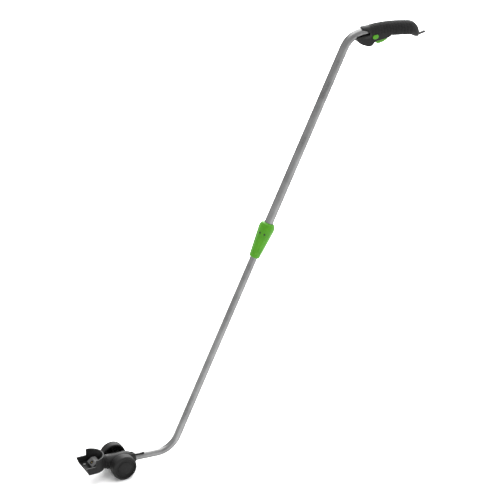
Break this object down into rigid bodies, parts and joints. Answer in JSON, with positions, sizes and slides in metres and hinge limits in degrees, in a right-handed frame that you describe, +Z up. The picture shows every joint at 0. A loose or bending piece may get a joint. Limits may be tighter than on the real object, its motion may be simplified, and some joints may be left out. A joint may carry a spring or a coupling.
{
  "type": "lawn edger pole with wheels",
  "caption": "Telescopic walk-behind pole for a cordless grass shear: trigger handle, twist-lock tubes, wheeled head and a swivelling tool cradle for lawn edges.",
  "frame": {"origin": "on the ground under the middle of the overall box; the wheels touch z = 0", "axes": "+X points back from the tool cradle towards the walker, +Y to the walker's right, +Z up"},
  "size_m": [0.7807, 0.0744, 0.8939],
  "materials": {
    "tube_metal": "satin",
    "green_plastic": "satin",
    "dark_plastic": "moulded, fine grain",
    "wheel_plastic": "moulded",
    "soft_rubber": "ribbed, matt",
    "contact_plastic": "moulded",
    "lead_sheath": "matt",
    "steel": "zinc plated",
    "contact_brass": "bright",
    "pale_plastic": "moulded"
  },
  "bodies": {
    "upper_pole": {"upper_tube": "tube_metal", "handle_left": "dark_plastic", "handle_right": "dark_plastic", "soft_grip": "soft_rubber", "rear_cap": "dark_plastic", "hang_tab": "dark_plastic", "handle_screws": "steel", "handle_tube_screws": "steel", "switch_body": "dark_plastic", "switch_terminals": "contact_brass", "switch_lead": "lead_sheath", "trigger_pin": "steel", "trigger_spring": "steel", "lock_off_spring": "steel", "clamp_body": "pale_plastic", "split_collet": "pale_plastic", "coiled_lead": "lead_sheath"},
    "trigger": {"trigger": "green_plastic"},
    "switch_plunger": {"switch_plunger": "pale_plastic"},
    "lock_off": {"lock_off_button": "green_plastic"},
    "lock_sleeve": {"lock_sleeve": "green_plastic", "sleeve_marks": "dark_plastic"},
    "lower_pole": {"lower_tube": "tube_metal", "slide_bush": "pale_plastic", "lower_lead": "lead_sheath", "housing_left": "dark_plastic", "housing_right": "dark_plastic", "housing_screws": "steel", "leg_screws": "steel", "axle_shaft": "steel", "axle_clips": "steel", "wheel_washers": "pale_plastic", "release_spring": "steel"},
    "release_rod": {"release_rod": "wheel_plastic", "release_tip": "wheel_plastic"},
    "cradle": {"cradle_shell": "dark_plastic", "cradle_screws": "steel", "swivel_collar": "dark_plastic", "thrust_washer": "pale_plastic", "contact_block": "contact_plastic", "contact_socket": "dark_plastic", "contact_pin": "contact_brass", "cradle_lead": "lead_sheath"},
    "wheel_left": {"wheel_left": "wheel_plastic", "hub_cap_left": "wheel_plastic"},
    "wheel_right": {"wheel_right": "wheel_plastic", "hub_cap_right": "wheel_plastic"}
  },
  "joints": [
    {"name": "telescope", "type": "slide", "parent": "upper_pole", "child": "lower_pole", "axis": [0.4251, 0, 0.9051], "range_m": [0, 0.3], "deforming": ["coiled_lead"]},
    {"name": "sleeve_twist", "type": "hinge", "parent": "upper_pole", "child": "lock_sleeve", "pos_m": [0.02102, 0, 0.46411], "axis": [0.4251, 0, 0.9051], "range_deg": [0, 90]},
    {"name": "trigger_pull", "type": "hinge", "parent": "upper_pole", "child": "trigger", "pos_m": [0.3, 0, 0.8649], "axis": [0, 1, 0], "range_deg": [0, 8], "stiffness_Nm_per_rad": 0.4, "springref_deg": -11.46, "deforming": ["trigger_spring"]},
    {"name": "switch_travel", "type": "slide", "parent": "upper_pole", "child": "switch_plunger", "axis": [0, 0, 1], "range_m": [0, 0.0016]},
    {"name": "lock_off_press", "type": "slide", "parent": "upper_pole", "child": "lock_off", "axis": [0, 1, 0], "range_m": [0, 0.0025], "stiffness_N_per_m": 600, "springref_m": -0.002, "deforming": ["lock_off_spring"]},
    {"name": "wheel_left_spin", "type": "hinge", "parent": "lower_pole", "child": "wheel_left", "pos_m": [-0.3083, 0, 0.0265], "axis": [0, 1, 0], "continuous": true},
    {"name": "wheel_right_spin", "type": "hinge", "parent": "lower_pole", "child": "wheel_right", "pos_m": [-0.3083, 0, 0.0265], "axis": [0, 1, 0], "continuous": true},
    {"name": "rod_pull", "type": "slide", "parent": "lower_pole", "child": "release_rod", "axis": [0.9986, 0, -0.0521], "range_m": [0, 0.0025], "stiffness_N_per_m": 800, "springref_m": -0.002, "deforming": ["release_spring"]},
    {"name": "head_swivel", "type": "hinge", "parent": "lower_pole", "child": "cradle", "pos_m": [-0.3353, 0, 0.0315], "axis": [1, 0, 0], "range_deg": [-90, 90]}
  ],
  "couplings": [
    {"joint": "switch_travel", "follows": "trigger_pull", "m_per_rad": 0.0113}
  ]
}
